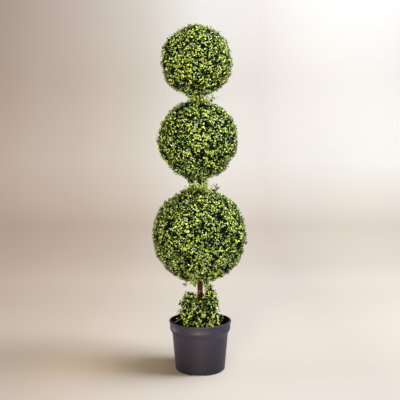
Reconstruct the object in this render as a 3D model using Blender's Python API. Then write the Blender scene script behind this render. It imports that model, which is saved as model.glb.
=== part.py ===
# Artificial boxwood topiary: three clipped balls of leaves on one slim trunk, in a moulded
# nursery pot, with leafy sprays round the foot of the trunk.
# Metres, +Z up. The origin is the middle of the pot's flat underside, and the front is -Y.
import math
import random

import bmesh
import bpy
from mathutils import Matrix, Vector

# Whole plant
TOTAL_HEIGHT = 1.22
GAP = 0.0003                    # clearance between pieces that rest on each other
WIDE_GAP = 0.0004               # the same where one of the two is slanted or curved

# Pot, a thin shell turned round the Z axis
POT_SIDES = 40
POT_HEIGHT = 0.178
POT_WALL = 0.0025
POT_FLOOR = 0.0045
POT_FOOT_RADIUS = 0.0885
POT_FOOT_CORNER = 0.0045
POT_WALL_TOP_RADIUS = 0.0992
POT_WALL_TOP_HEIGHT = 0.128
POT_COLLAR_FOOT_RADIUS = 0.1080
POT_COLLAR_FOOT_HEIGHT = 0.150
POT_COLLAR_TOP_RADIUS = 0.1087
POT_LIP_RADIUS = 0.1112
POT_LIP_HEIGHT = 0.0065         # height of the rounded bead round the rim
POT_LIP_STEPS = 4
POT_SHOULDER_STEPS = 4
POT_NOTCHES = 5                 # shallow drain notches in the underside's edge
POT_NOTCH_FIRST = -7.0          # degrees from the front, towards +X
POT_NOTCH_WIDTH = 25.0          # degrees
POT_NOTCH_HEIGHT = 0.003
POT_NOTCH_DEPTH = 0.010

# Fill that weighs the pot down and holds the trunk
FILL_TOP = 0.128

# Trunk, a slim stem that leans a little to the left
TRUNK_SIDES = 10
TRUNK_RINGS = 22
TRUNK_RING_CROWD = 1.3          # over 1, the rings crowd towards the flare
TRUNK_FOOT = FILL_TOP + GAP
TRUNK_TIP = 1.120
TRUNK_FOOT_RADIUS = 0.0101
TRUNK_TIP_RADIUS = 0.0084
TRUNK_FLARE = 0.0030            # extra radius where it spreads at its foot
TRUNK_FLARE_HEIGHT = 0.020
TRUNK_LEAN = 0.0125             # how far left the tip stands of the foot
TRUNK_WAVER = 0.0010            # slow sway of the stem to the front and back

# Leaves are flat six-cornered blades, larger than the real ones, so that few fill a ball.
# Sizes across a leaf are shares of its length.
LEAF_WIDTH = 0.72
LEAF_THICKNESS = 0.07
LEAF_SHOULDERS = (0.25, 0.66)   # where a leaf is at its full width
LEAF_ROOT_SUNK = 0.0004         # how far a leaf's root goes past the middle of its twig
LEAF_ROLL = 22.0                # degrees that a leaf may roll off facing the end of its twig
TWIG_SIDES = 3
TWIG_RADIUS = 0.0026
TWIG_TIP_SHARE = 0.70           # tip radius as a share of the radius at its root
LEAF_SPREAD = (64.0, 86.0)      # degrees between a twig and the leaves of a pair
PAIR_BACK = 0.003               # distance of a pair of leaves back from its twig's end

# Balls: name, sideways place and height of the centre, radius over the leaf tips, shoots
TOP_BALL_RADIUS = 0.127
BALLS = (
    ("lower_ball", -0.0028, 0.4832, 0.1694, 43),
    ("middle_ball", -0.0090, 0.8195, 0.1433, 34),
    ("top_ball", -0.0120, TOTAL_HEIGHT - TOP_BALL_RADIUS, TOP_BALL_RADIUS, 27),
)
BALL_CORE = 0.81                # radius of the core, as a share of the ball's
BALL_TWIG_ROOT = 0.75           # where a twig starts inside the core
BALL_TWIG_END = 0.90
BALL_LEAF = 0.36                # length of the longest leaf
BALL_PAIR_STEP = 0.04           # distance between the two pairs of leaves on a twig
BALL_TWIG_TILT = 7.0            # degrees that a twig may lean off square
BALL_TRUNK_ROOM = 0.004         # leaves and twigs stay this far off the trunk
BALL_CLIP = (0.975, 0.998)      # where a leaf's tip is clipped

# Long shoots that stand proud of a ball: ball, degrees round from +X, degrees up, extra reach
LONG_SHOOTS = (
    ("lower_ball", 0.0, 78.0, 0.016),
    ("lower_ball", 180.0, 77.0, 0.013),
    ("lower_ball", 180.0, -75.0, 0.020),
)

# Sprays round the foot: name, direction in degrees from +X, height of the tip, lean outwards
FOOT_SPRAYS = (
    ("foot_spray_right", 0.0, 0.310, 10.0),
    ("foot_spray_back_right", 60.0, 0.262, 18.0),
    ("foot_spray_back_left", 120.0, 0.250, 20.0),
    ("foot_spray_left", 180.0, 0.290, 14.0),
    ("foot_spray_front_left", 240.0, 0.212, 26.0),
    ("foot_spray_front_right", 300.0, 0.222, 24.0),
)
FOOT_SECTOR = 60.0              # degrees of the circle that each spray keeps to
FOOT_STEM_OUT = 0.034           # distance of each stem from the middle of the pot
FOOT_REACH_LOW = 0.0915         # how far out a leaf may go below the rim
FOOT_REACH_HIGH = 0.1030        # and above the shoulder of the pot
FOOT_LEAF_LENGTH = 0.033
FOOT_TIP_LEAF_LENGTH = 0.026
FOOT_TIP_ROOM = 0.027           # height left for the end leaf over the tip of a stem
FOOT_SHOOTS = 5                 # side shoots of a stem
FOOT_SHOOT_LENGTH = (0.016, 0.030)
FOOT_SHOOT_ANGLE = (50.0, 80.0)
FOOT_SHOOT_TURN = 137.5         # degrees round the stem from one side shoot to the next

SEED = 48
MERGE_DISTANCE = 0.0000002      # corners closer than this are one corner


def clear_scene():
    for thing in list(bpy.data.objects):
        bpy.data.objects.remove(thing, do_unlink=True)


def make_material(name, color, roughness):
    material = bpy.data.materials.new(name)
    material.use_nodes = True
    shader = material.node_tree.nodes["Principled BSDF"]
    shader.inputs["Base Color"].default_value = (*color, 1.0)
    shader.inputs["Roughness"].default_value = roughness
    shader.inputs["Metallic"].default_value = 0.0
    return material


def make_object(name, mesh, material=None, smooth_angle=None):
    thing = bpy.data.objects.new(name, mesh)
    bpy.context.scene.collection.objects.link(thing)
    if material is not None:
        mesh.materials.clear()
        mesh.materials.append(material)
    if smooth_angle is not None:
        mesh.shade_smooth()
        mesh.set_sharp_from_angle(angle=math.radians(smooth_angle))
    return thing


def mesh_from_bmesh(name, shape):
    bmesh.ops.recalc_face_normals(shape, faces=shape.faces)
    mesh = bpy.data.meshes.new(name)
    shape.to_mesh(mesh)
    shape.free()
    return mesh


def direction_at(around, up):
    """A direction from its angles in degrees: round from +X, and up from level."""
    around = math.radians(around)
    up = math.radians(up)
    return Vector((math.cos(up) * math.cos(around), math.cos(up) * math.sin(around), math.sin(up)))


def turned_mesh(name, profile, sides):
    """A closed solid turned round Z. The profile runs from pole to pole as (radius, height)."""
    shape = bmesh.new()
    rings = []
    for radius, height in profile:
        if radius == 0.0:
            rings.append([shape.verts.new((0.0, 0.0, height))])
            continue
        ring = []
        for side in range(sides):
            angle = math.tau * side / sides
            ring.append(shape.verts.new((radius * math.cos(angle), radius * math.sin(angle), height)))
        rings.append(ring)
    for low, high in zip(rings, rings[1:]):
        for side in range(sides):
            following = (side + 1) % sides
            corners = [low[side % len(low)], low[following % len(low)],
                       high[following % len(high)], high[side % len(high)]]
            shape.faces.new(dict.fromkeys(corners))
    return mesh_from_bmesh(name, shape)


def shoulder(inset):
    """The S-curve between the wall and the wider collar, from low to high."""
    points = []
    for step in range(POT_SHOULDER_STEPS + 1):
        share = step / POT_SHOULDER_STEPS
        ease = share * share * (3.0 - 2.0 * share)
        radius = POT_WALL_TOP_RADIUS + (POT_COLLAR_FOOT_RADIUS - POT_WALL_TOP_RADIUS) * ease
        height = POT_WALL_TOP_HEIGHT + (POT_COLLAR_FOOT_HEIGHT - POT_WALL_TOP_HEIGHT) * share
        points.append((radius - inset, height))
    return points


def lip_bead():
    """The half-round bead that stands out of the top of the collar, from low to high."""
    points = []
    for step in range(POT_LIP_STEPS + 1):
        angle = math.pi * (step / POT_LIP_STEPS - 0.5)
        radius = POT_COLLAR_TOP_RADIUS + (POT_LIP_RADIUS - POT_COLLAR_TOP_RADIUS) * math.cos(angle)
        points.append((radius, POT_HEIGHT - POT_LIP_HEIGHT / 2 * (1.0 - math.sin(angle))))
    return points


def pot_profile():
    corner_middle = POT_FOOT_RADIUS - POT_FOOT_CORNER
    diagonal = POT_FOOT_CORNER * math.sqrt(0.5)
    outside = [
        (0.0, 0.0),
        (corner_middle, 0.0),
        (corner_middle + diagonal, POT_FOOT_CORNER - diagonal),
        (POT_FOOT_RADIUS, POT_FOOT_CORNER),
        *shoulder(0.0),
        *lip_bead(),
    ]
    inside = [
        (POT_COLLAR_TOP_RADIUS - POT_WALL, POT_HEIGHT),
        *reversed(shoulder(POT_WALL)),
        (POT_FOOT_RADIUS - POT_WALL, POT_FLOOR),
        (0.0, POT_FLOOR),
    ]
    return outside + inside


def notch_mesh():
    """Five short curved blocks, joined in one mesh, that cut the drain notches."""
    shape = bmesh.new()
    inner = POT_FOOT_RADIUS - POT_NOTCH_DEPTH
    outer = POT_FOOT_RADIUS + POT_NOTCH_DEPTH
    for notch in range(POT_NOTCHES):
        middle = -90.0 + POT_NOTCH_FIRST + 360.0 / POT_NOTCHES * notch
        corners = []
        for height in (-POT_NOTCH_HEIGHT, POT_NOTCH_HEIGHT):
            for radius, side in ((inner, -0.5), (outer, -0.5), (outer, 0.5), (inner, 0.5)):
                angle = math.radians(middle + side * POT_NOTCH_WIDTH)
                corners.append(shape.verts.new((radius * math.cos(angle), radius * math.sin(angle), height)))
        bottom, top = corners[:4], corners[4:]
        shape.faces.new(bottom)
        shape.faces.new(top)
        for side in range(4):
            following = (side + 1) % 4
            shape.faces.new((bottom[side], bottom[following], top[following], top[side]))
    return mesh_from_bmesh("drain_notches", shape)


def cut_away(thing, cutter):
    cutter.hide_render = True
    cutter.display_type = "WIRE"
    cut = thing.modifiers.new("cut " + cutter.name, "BOOLEAN")
    cut.operation = "DIFFERENCE"
    cut.solver = "EXACT"
    cut.object = cutter


def make_pot(material):
    pot = make_object("pot", turned_mesh("pot", pot_profile(), POT_SIDES), material, 35.0)
    cut_away(pot, make_object("drain_notches", notch_mesh()))


def make_fill(material):
    """The fill keeps clear of the pot's floor and wall all round."""
    floor = POT_FLOOR + GAP
    slope = (POT_WALL_TOP_RADIUS - POT_FOOT_RADIUS) / (POT_WALL_TOP_HEIGHT - POT_FOOT_CORNER)
    foot = POT_FOOT_RADIUS - POT_WALL - 2.0 * GAP
    top = foot + slope * (FILL_TOP - floor)
    profile = [(0.0, floor), (foot, floor), (top, FILL_TOP), (0.0, FILL_TOP)]
    make_object("pot_fill", turned_mesh("pot_fill", profile, POT_SIDES), material, 35.0)


def trunk_centre(height):
    share = (height - TRUNK_FOOT) / (TRUNK_TIP - TRUNK_FOOT)
    return Vector((-TRUNK_LEAN * share * share, TRUNK_WAVER * math.sin(math.tau * share), height))


def trunk_radius(height):
    share = (height - TRUNK_FOOT) / (TRUNK_TIP - TRUNK_FOOT)
    flare = TRUNK_FLARE * math.exp(-(height - TRUNK_FOOT) / TRUNK_FLARE_HEIGHT)
    return TRUNK_FOOT_RADIUS + (TRUNK_TIP_RADIUS - TRUNK_FOOT_RADIUS) * share + flare


def trunk_mesh(name, extra):
    """The trunk with flat ends, or the slightly wider shape of the bore that clears it."""
    shape = bmesh.new()
    previous = None
    for ring in range(TRUNK_RINGS + 1):
        share = ring / TRUNK_RINGS
        height = TRUNK_FOOT + (TRUNK_TIP - TRUNK_FOOT) * share ** TRUNK_RING_CROWD
        middle = trunk_centre(height)
        radius = trunk_radius(height) + extra
        if ring == TRUNK_RINGS:
            middle.z += extra
        corners = []
        for side in range(TRUNK_SIDES):
            out = direction_at(360.0 * (side + 0.5) / TRUNK_SIDES, 0.0)
            corners.append(shape.verts.new(middle + out * radius))
        if previous is None:
            shape.faces.new(corners)
        else:
            for side in range(TRUNK_SIDES):
                following = (side + 1) % TRUNK_SIDES
                shape.faces.new((previous[side], previous[following], corners[following], corners[side]))
        previous = corners
    shape.faces.new(previous)
    return mesh_from_bmesh(name, shape)


def leaf_mesh():
    """One leaf of length 1 along +X, flat across Z, with its root at the origin.

    The shoulders near the root are raised and those near the tip are lowered, and the root and
    the tip the other way, so that eight triangles close round six corners.
    """
    lift = LEAF_THICKNESS / 2
    near, far = LEAF_SHOULDERS
    shape = bmesh.new()
    root = shape.verts.new((0.0, 0.0, -lift))
    tip = shape.verts.new((1.0, 0.0, lift))
    near_left = shape.verts.new((near, LEAF_WIDTH / 2, lift))
    near_right = shape.verts.new((near, -LEAF_WIDTH / 2, lift))
    far_left = shape.verts.new((far, LEAF_WIDTH / 2, -lift))
    far_right = shape.verts.new((far, -LEAF_WIDTH / 2, -lift))
    for end in (root, tip):
        shape.faces.new((end, near_left, near_right))
        shape.faces.new((end, far_left, far_right))
        shape.faces.new((end, near_left, far_left))
        shape.faces.new((end, near_right, far_right))
    return mesh_from_bmesh("leaf", shape)


def frame_along(direction, roll):
    """A turn that takes +X to the direction, then rolls about it by an angle in radians."""
    turn = direction.to_track_quat("X", "Z").to_matrix()
    return turn @ Matrix.Rotation(roll, 3, "X")


class Mass:
    """The twigs and leaves of one mass of foliage."""

    def __init__(self, name, leaf):
        self.name = name
        self.leaf = leaf
        self.pieces = []
        self.random = random.Random(name + str(SEED))

    def keep_to(self, holds, clip):
        """holds(point) tells what lies in its space; clip(start, heading) is a leaf's length."""
        self.holds = holds
        self.clip = clip

    def between(self, limits):
        return self.random.uniform(*limits)

    def add_twig(self, start, end, radius):
        along = end - start
        matrix = Matrix.LocRotScale((start + end) / 2, along.to_track_quat("Z", "X"), None)
        shape = bmesh.new()
        bmesh.ops.create_cone(shape, cap_ends=True, segments=TWIG_SIDES, radius1=radius,
                              radius2=radius * TWIG_TIP_SHARE, depth=along.length, matrix=matrix)
        corners = [corner.co.copy() for corner in shape.verts]
        if not all(self.holds(corner) for corner in corners):
            shape.free()
            return False
        self.pieces.append(make_object(self.name + "_twig", mesh_from_bmesh("twig", shape)))
        return True

    def add_leaf(self, root, direction, roll, length):
        turn = frame_along(direction, roll)
        origin = root - direction * LEAF_ROOT_SUNK
        matrix = Matrix.LocRotScale(origin, turn, Vector.Fill(3, length))
        corners = [matrix @ corner.co for corner in self.leaf.vertices]
        middles = [(corners[first] + corners[second]) / 2
                   for first in range(len(corners)) for second in range(first)]
        if not all(self.holds(point) for point in corners + middles):
            return
        piece = make_object(self.name + "_leaf", self.leaf)
        piece.matrix_world = matrix
        self.pieces.append(piece)

    def add_pair(self, root, axis, turn):
        """Two opposite leaves that spread from a twig's axis, their faces towards its end."""
        across = frame_along(axis, turn)
        side = across @ Vector((0.0, 1.0, 0.0))
        for sign in (1.0, -1.0):
            angle = math.radians(self.between(LEAF_SPREAD))
            direction = (axis * math.cos(angle) + side * sign * math.sin(angle)).normalized()
            blade = axis.cross(direction).normalized()
            flat = frame_along(direction, 0.0)
            roll = math.atan2(blade.dot(flat @ Vector((0.0, 0.0, 1.0))),
                              blade.dot(flat @ Vector((0.0, 1.0, 0.0))))
            roll += math.radians(self.between((-LEAF_ROLL, LEAF_ROLL)))
            self.add_leaf(root, direction, roll, self.clip(root, direction))


def remove_pieces(pieces):
    for piece in pieces:
        bpy.data.objects.remove(piece, do_unlink=True)


def shell_volume(faces):
    volume = 0.0
    for face in faces:
        corners = [corner.co for corner in face.verts]
        for second, third in zip(corners[1:], corners[2:]):
            volume += corners[0].dot(second.cross(third)) / 6.0
    return volume


def keep_main_shell(mesh):
    """Fills sealed hollows and drops loose scraps, so that one closed skin is left."""
    shape = bmesh.new()
    shape.from_mesh(mesh)
    bmesh.ops.triangulate(shape, faces=shape.faces)
    bmesh.ops.remove_doubles(shape, verts=shape.verts, dist=MERGE_DISTANCE)
    unseen = set(shape.faces)
    shells = []
    while unseen:
        waiting = [unseen.pop()]
        shell = []
        while waiting:
            face = waiting.pop()
            shell.append(face)
            for edge in face.edges:
                for neighbour in edge.link_faces:
                    if neighbour in unseen:
                        unseen.remove(neighbour)
                        waiting.append(neighbour)
        shells.append(shell)
    shells.sort(key=shell_volume)
    for shell in shells[:-1]:
        bmesh.ops.delete(shape, geom=shell, context="FACES")
    bmesh.ops.delete(shape, geom=[corner for corner in shape.verts if not corner.link_faces],
                     context="VERTS")
    bmesh.ops.triangulate(shape, faces=shape.faces)
    shape.to_mesh(mesh)
    shape.free()


def join_mass(mass, base, material):
    """One Boolean union of the base piece with all the others of its mass."""
    scene = bpy.context.scene.collection
    group = bpy.data.collections.new(mass.name + "_pieces")
    scene.children.link(group)
    for piece in mass.pieces:
        group.objects.link(piece)
        scene.objects.unlink(piece)
    union = base.modifiers.new("join", "BOOLEAN")
    union.operation = "UNION"
    union.operand_type = "COLLECTION"
    union.collection = group
    union.solver = "EXACT"
    mesh = bpy.data.meshes.new_from_object(base.evaluated_get(bpy.context.evaluated_depsgraph_get()))
    remove_pieces([*mass.pieces, base])
    bpy.data.collections.remove(group)
    keep_main_shell(mesh)
    mesh.name = mass.name
    make_object(mass.name, mesh, material, 35.0)


def off_trunk(point, room):
    """Whether a point is clear of the trunk, or above its tip."""
    if point.z > TRUNK_TIP + room:
        return True
    middle = trunk_centre(max(point.z, TRUNK_FOOT))
    return math.hypot(point.x - middle.x, point.y - middle.y) > trunk_radius(middle.z) + room


def ball_space(centre, radius):
    def holds(point):
        return (point - centre).length < radius and off_trunk(point, BALL_TRUNK_ROOM)
    return holds


def core_mesh(name, centre, radius):
    shape = bmesh.new()
    bmesh.ops.create_icosphere(shape, subdivisions=3, radius=radius, matrix=Matrix.Translation(centre))
    return mesh_from_bmesh(name, shape)


def spread_direction(index, count):
    """Even directions over a sphere, on a golden-angle spiral from one pole to the other."""
    height = 1.0 - 2.0 * index / (count - 1)
    angle = index * math.pi * (3.0 - math.sqrt(5.0))
    flat = math.sqrt(1.0 - height * height)
    return Vector((flat * math.cos(angle), flat * math.sin(angle), height))


def clipped_length(start, heading, outline, longest):
    """Length at which a leaf meets the ball's clipped outline, up to the longest leaf."""
    along = heading.dot(start)
    return min(longest, math.sqrt(along * along + outline * outline - start.length_squared) - along)


def add_ball_shoot(mass, centre, out, radius, reach):
    """A twig that stands out of the core, with two pairs of leaves set crosswise."""
    wobble = frame_along(out, mass.between((0.0, math.tau))) @ Vector((0.0, 1.0, 0.0))
    tilt = math.radians(mass.between((0.0, BALL_TWIG_TILT)))
    axis = (out * math.cos(tilt) + wobble * math.sin(tilt)).normalized()
    root = centre + out * radius * BALL_TWIG_ROOT
    end = root + axis * (radius * (BALL_TWIG_END - BALL_TWIG_ROOT) + reach - radius)

    def clip(start, heading):
        outline = reach * mass.between(BALL_CLIP)
        return clipped_length(start - centre, heading, outline, radius * BALL_LEAF)

    mass.keep_to(ball_space(centre, reach), clip)
    if not mass.add_twig(root, end, TWIG_RADIUS):
        return
    turn = mass.between((0.0, math.tau))
    upper = end - axis * PAIR_BACK
    mass.add_pair(upper, axis, turn)
    mass.add_pair(upper - axis * radius * BALL_PAIR_STEP, axis, turn + math.pi / 2)


def make_ball(name, sideways, height, radius, shoots, bore, leaf, material):
    centre = Vector((sideways, 0.0, height))
    mass = Mass(name, leaf)
    core = make_object(name + "_core", core_mesh(name, centre, radius * BALL_CORE))
    cut_away(core, bore)
    for index in range(shoots):
        add_ball_shoot(mass, centre, spread_direction(index, shoots), radius, radius)
    for ball, around, up, extra in LONG_SHOOTS:
        if ball == name:
            add_ball_shoot(mass, centre, direction_at(around, up), radius, radius + extra)
    join_mass(mass, core, material)


def sector_space(degrees, height):
    """A wedge round the trunk that opens from its side, above the fill and inside the pot."""
    out = direction_at(degrees, 0.0)
    edges = [direction_at(degrees + sign * (FOOT_SECTOR / 2 - 90.0), 0.0) for sign in (1.0, -1.0)]
    trunk = trunk_radius(TRUNK_FOOT)

    def holds(point):
        reach = FOOT_REACH_LOW if point.z < POT_COLLAR_FOOT_HEIGHT else FOOT_REACH_HIGH
        return (FILL_TOP + GAP < point.z < height
                and math.hypot(point.x, point.y) < reach
                and point.dot(out) > trunk + GAP
                and all(point.dot(edge) > GAP for edge in edges))
    return holds


def make_foot_spray(name, degrees, height, lean, leaf, material):
    """One stem that stands on the fill, with side shoots that turn round it on their way up."""
    out = direction_at(degrees, 0.0)
    mass = Mass(name, leaf)
    mass.keep_to(sector_space(degrees, height), lambda start, heading: FOOT_LEAF_LENGTH)
    axis = (Vector((0.0, 0.0, 1.0)) + out * math.tan(math.radians(lean))).normalized()
    slant = TWIG_RADIUS * math.sqrt(1.0 - axis.z * axis.z)
    foot = out * FOOT_STEM_OUT + Vector((0.0, 0.0, FILL_TOP + WIDE_GAP + slant))
    tip = foot + axis * (height - FOOT_TIP_ROOM - foot.z) / axis.z
    mass.add_twig(foot, tip, TWIG_RADIUS)
    stem = mass.pieces.pop()
    turn = mass.between((0.0, math.tau))
    mass.add_leaf(tip, axis, turn, FOOT_TIP_LEAF_LENGTH)
    mass.add_pair(tip - axis * PAIR_BACK, axis, turn)
    for shoot in range(FOOT_SHOOTS):
        root = foot.lerp(tip, (shoot + 0.5) / FOOT_SHOOTS)
        angle = math.radians(mass.between(FOOT_SHOOT_ANGLE))
        around = frame_along(axis, turn + shoot * math.radians(FOOT_SHOOT_TURN))
        heading = axis * math.cos(angle) + around @ Vector((0.0, 1.0, 0.0)) * math.sin(angle)
        end = root + heading * mass.between(FOOT_SHOOT_LENGTH)
        if mass.add_twig(root, end, TWIG_RADIUS * TWIG_TIP_SHARE):
            mass.add_leaf(end, heading, 0.0, FOOT_TIP_LEAF_LENGTH)
            mass.add_pair(end - heading * PAIR_BACK, heading, 0.0)
        mass.add_pair(root, axis, turn + shoot * math.pi / 2)
    join_mass(mass, stem, material)


def build():
    clear_scene()
    make_pot(make_material("moulded polypropylene", (0.062, 0.056, 0.060), 0.50))
    make_fill(make_material("cast fill", (0.010, 0.010, 0.010), 0.95))
    wood = make_material("stem wood", (0.105, 0.056, 0.036), 0.80)
    make_object("trunk", trunk_mesh("trunk", 0.0), wood, 40.0)
    bore = make_object("trunk_bore", trunk_mesh("trunk_bore", WIDE_GAP))
    leaves = make_material("leaf plastic", (0.130, 0.190, 0.045), 0.45)
    leaf = leaf_mesh()
    for name, sideways, height, radius, shoots in BALLS:
        make_ball(name, sideways, height, radius, shoots, bore, leaf, leaves)
    for name, degrees, height, lean in FOOT_SPRAYS:
        make_foot_spray(name, degrees, height, lean, leaf, leaves)
    bpy.data.objects.remove(bore, do_unlink=True)


build()
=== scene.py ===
# Looks of an artificial boxwood topiary: three clipped balls of moulded leaves on one slim trunk,
# with leafy sprays round its foot, in a black nursery pot. Metres, +Z up, the front is -Y.
import math

import bmesh
import bpy
import numpy as np
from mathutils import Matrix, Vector, noise


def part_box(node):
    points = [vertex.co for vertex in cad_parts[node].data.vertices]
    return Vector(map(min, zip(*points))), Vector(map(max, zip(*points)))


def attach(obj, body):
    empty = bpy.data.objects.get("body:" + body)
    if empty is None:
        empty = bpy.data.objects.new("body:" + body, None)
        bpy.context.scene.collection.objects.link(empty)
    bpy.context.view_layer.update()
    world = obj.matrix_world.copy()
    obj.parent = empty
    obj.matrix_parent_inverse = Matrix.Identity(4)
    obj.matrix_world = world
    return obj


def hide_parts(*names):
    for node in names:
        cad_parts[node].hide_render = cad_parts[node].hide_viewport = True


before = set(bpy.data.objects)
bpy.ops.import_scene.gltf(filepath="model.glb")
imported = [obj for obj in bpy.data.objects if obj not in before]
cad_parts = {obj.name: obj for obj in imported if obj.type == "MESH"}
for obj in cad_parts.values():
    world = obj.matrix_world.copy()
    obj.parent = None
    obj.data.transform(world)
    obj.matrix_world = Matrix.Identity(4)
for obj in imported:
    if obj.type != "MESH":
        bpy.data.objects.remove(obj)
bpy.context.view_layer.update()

seed = 48  # of the bark's furrows and the leaves' widths
upwards = np.array([0.0, 0.0, 1.0])
growthSeeds = {"lower_ball": 8, "middle_ball": 48, "top_ball": 2, "foot": 2}  # of what grows on each part


def unit(vectors):
    return vectors / np.linalg.norm(vectors, axis=-1, keepdims=True)


def aroundZ(degrees):
    angle = np.radians(degrees)
    return np.stack([np.cos(angle), np.sin(angle), np.zeros_like(angle)], -1)


def toLinear(hexColour, alpha=1.0):  # sRGB hex to the linear colour that a shader takes
    values = [int(hexColour[i:i + 2], 16) / 255 for i in (1, 3, 5)]
    return (*[v / 12.92 if v <= 0.04045 else ((v + 0.055) / 1.055) ** 2.4 for v in values], alpha)


def addNode(tree, kind, inputs=None, **settings):  # one node with its settings, values and links
    node = tree.nodes.new(kind)
    for name, value in settings.items():
        setattr(node, name, value)
    for key, value in (inputs or {}).items():
        if isinstance(value, bpy.types.Node):
            value = next(socket for socket in value.outputs if socket.enabled)
        if isinstance(value, bpy.types.NodeSocket):
            tree.links.new(value, node.inputs[key])
        else:
            node.inputs[key].default_value = value
    return node


# Materials

leafTints = {  # two close colours for each batch of moulded leaves, light to dark, then a greyed batch; deep is nearly black painted shade for the inner leaves, pale a painted highlight for their glints
    "young": ("#CCE474", "#A6C34C"),
    "light": ("#88AE46", "#638C38"),
    "mid": ("#497440", "#305A2E"),
    "deep": ("#0A1206", "#050A03"),
    # painted highlight: a whitish batch that stands in for the leaves' glints
    "pale": ("#B8D2AC", "#769C7C"),
}
tintNames = list(leafTints)
midTint, deepShadeTint, paleGlintTint = [tintNames.index(name) for name in ("mid", "deep", "pale")]
plainFinish = {"stretch": (1, 1, 1), "detail": 3.0, "contrast": (0.3, 0.7), "ior": 1.5, "specular": 0.1,
               "strength": 1.0}
leafFinish = {**plainFinish, "blotch": 5.0, "contrast": (0.0, 1.0), "ior": 1.51, "relief": 1.2,
              "depth": 0.06, "strength": 0.5}
finishes = {  # blotches and relief in millimetres, coarser than real where the picture asks for it
    "leaf": {  # moulded polyethylene: glossy enough to glint, mottled where the dye thins out
        **leafFinish, "specular": 0.5, "roughness": (0.20, 0.34)},
    "deep leaf": {  # the inner leaves' plastic, nearly black as painted shade, and dull with dust so that the gaps stay black
        **leafFinish, "roughness": (0.60, 0.80)},
    "moulded polyethylene twig": {  # the same plastic dyed olive brown, and rougher
        **leafFinish, "colours": ("#2A2713", "#18170C"), "blotch": 6.0, "specular": 0.2,
        "roughness": (0.5, 0.7), "relief": 1.5, "depth": 0.1},
    "dyed foam core": {  # dull and nearly black, with open cells that trap the light
        **plainFinish, "colours": ("#030402", "#070905"), "blotch": 3.0, "ior": 1.4, "specular": 0.05,
        "roughness": (0.85, 0.98), "relief": 3.0, "depth": 1.0},
    "stained bark": {  # warm red brown on the ridges, almost black in the furrows
        **plainFinish, "colours": ("#0C0403", "#481C10"), "blotch": 5.0, "stretch": (1, 1, 0.16),
        "detail": 6.0, "contrast": (0.36, 0.64), "specular": 0.2, "roughness": (0.68, 0.9), "relief": 5.0,
        "depth": 0.6},
    "moulded black polypropylene": {  # fine satin grain and faint upright flow marks
        **plainFinish, "colours": ("#272738", "#2F2E3F"), "blotch": 40.0, "stretch": (1, 1, 0.25),
        "detail": 2.0, "ior": 1.49, "specular": 0.45, "roughness": (0.42, 0.54), "relief": 1.0,
        "depth": 0.05, "strength": 0.6},
    "polypropylene inside painted black as shade": {  # the same plastic inside, dull, and black as painted shade for the inside of the pot
        **plainFinish, "colours": ("#050505", "#0A090A"), "blotch": 12.0, "ior": 1.49,
        "roughness": (0.9, 1.0), "relief": 2.0, "depth": 0.1, "strength": 0.6},
    "painted cast fill": {  # painted black, gritty and dull
        **plainFinish, "colours": ("#060606", "#12110F"), "blotch": 2.5, "roughness": (0.88, 0.98),
        "relief": 2.5, "depth": 0.8},
    "bare stem wire": {  # a stem worn down to the pale dull lacquer on its wire
        **plainFinish, "colours": ("#A7A29B", "#77726A"), "blotch": 3.0, "specular": 0.5,
        "roughness": (0.45, 0.65), "relief": 3.0, "depth": 0.1},
}
noiseRange = (0.3, 0.7)  # where nearly all of a noise texture lies
barkFlecks = {"colour": "#66361F", "size": 1.6, "stretch": (1, 1, 0.4), "range": (0.5, 0.75),
              "shares": (0.0, 0.5)}  # where the stain has worn off
barkPaintedShade = {"colour": "#0B0706", "range": (0.285, 0.37), "shares": (0.0, 0.85)}  # painted shade: darker higher up, where the ball above shades the trunk
potFootPaintedShade = {"colour": "#100F1E", "range": (0.0, 0.15), "shares": (1.0, 0.0)}  # painted shade: darker towards the foot


def newMaterial(name, specular):  # and its tree, its shader's inputs and the place that textures read
    material = bpy.data.materials.new(name)
    material.use_nodes = True
    tree = material.node_tree
    shader = tree.nodes["Principled BSDF"].inputs
    shader["Specular IOR Level"].default_value = specular
    return material, tree, shader, addNode(tree, "ShaderNodeTexCoord").outputs["Object"]


def makeMaterial(name, finish, colours):
    material, tree, shader, place = newMaterial(name, finish["specular"])
    shader["IOR"].default_value = finish["ior"]
    spread = addNode(tree, "ShaderNodeMapping", {"Vector": place, "Scale": finish["stretch"]})
    blotch, relief = [addNode(tree, "ShaderNodeTexNoise", {
        "Vector": spread, "Scale": 1000 / finish[pattern], "Detail": finish["detail"]})
        for pattern in ("blotch", "relief")]
    (low, high), (smooth, rough) = finish["contrast"], finish["roughness"]
    share = addNode(tree, "ShaderNodeMapRange", {"Value": blotch, "From Min": low, "From Max": high})
    colour = addNode(tree, "ShaderNodeMix", {0: share, 6: toLinear(colours[0]), 7: toLinear(colours[1])},
                     data_type="RGBA")  # a colour mix has its share at socket 0 and its colours at 6 and 7
    low, high = noiseRange
    roughness = addNode(tree, "ShaderNodeMapRange", {
        "Value": blotch, "From Min": low, "From Max": high, "To Min": smooth, "To Max": rough})
    bump = addNode(tree, "ShaderNodeBump", {
        "Height": relief, "Distance": finish["depth"] / 1000, "Strength": finish["strength"]})
    tree.links.new(colour.outputs[2], shader["Base Color"])
    tree.links.new(roughness.outputs["Result"], shader["Roughness"])
    tree.links.new(bump.outputs["Normal"], shader["Normal"])
    return material


def paintOver(material, value, layer):  # a layer of colour over the first, in shares by this value
    tree = material.node_tree
    into = tree.nodes["Principled BSDF"].inputs["Base Color"]
    (low, high), (least, most) = layer["range"], layer["shares"]
    share = addNode(tree, "ShaderNodeMapRange", {
        "Value": value, "From Min": low, "From Max": high, "To Min": least, "To Max": most})
    over = addNode(tree, "ShaderNodeMix", {
        0: share, 6: into.links[0].from_socket, 7: toLinear(layer["colour"])}, data_type="RGBA")
    tree.links.new(over.outputs[2], into)


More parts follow.
